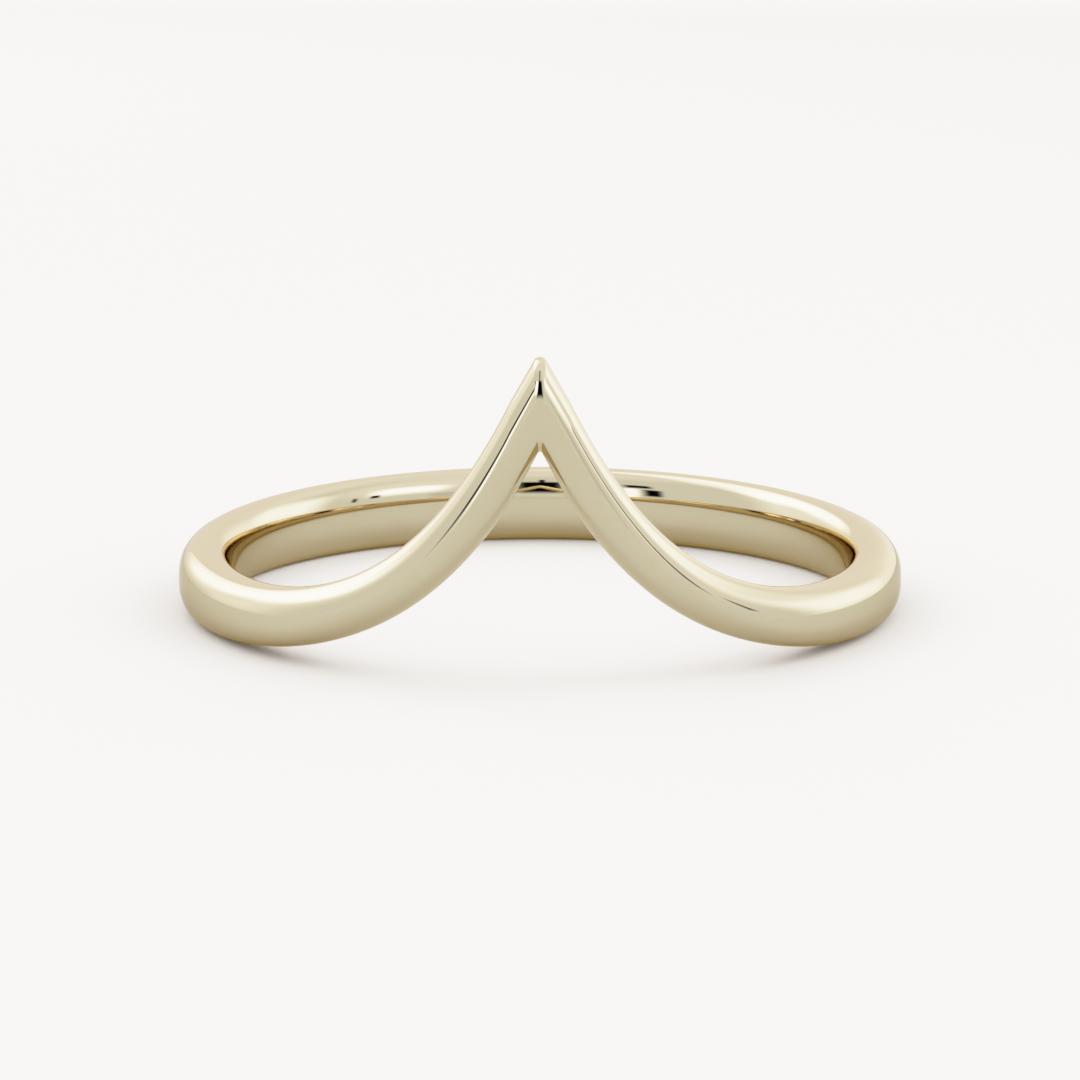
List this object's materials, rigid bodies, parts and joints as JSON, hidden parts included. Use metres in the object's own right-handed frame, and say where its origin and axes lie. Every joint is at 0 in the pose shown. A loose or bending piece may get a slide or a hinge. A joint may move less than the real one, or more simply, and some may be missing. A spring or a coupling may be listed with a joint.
{
  "type": "curved wedding band",
  "caption": "Slim polished gold ring that lies on its side, its band rising at the front into a pointed chevron with a sharp notch under it, open round the finger hole.",
  "frame": {"origin": "centre of the finger hole, on the plane that the ring lies on", "axes": "+Z along the finger hole, up from the resting plane; the chevron's point is at the front, at -Y; +X to the right, and the ring is symmetric about X = 0"},
  "size_m": [0.0198, 0.0198, 0.0081],
  "materials": {
    "gold": "mirror polish on pale yellow gold"
  },
  "bodies": {
    "root": {"band": "gold"}
  },
  "joints": []
}
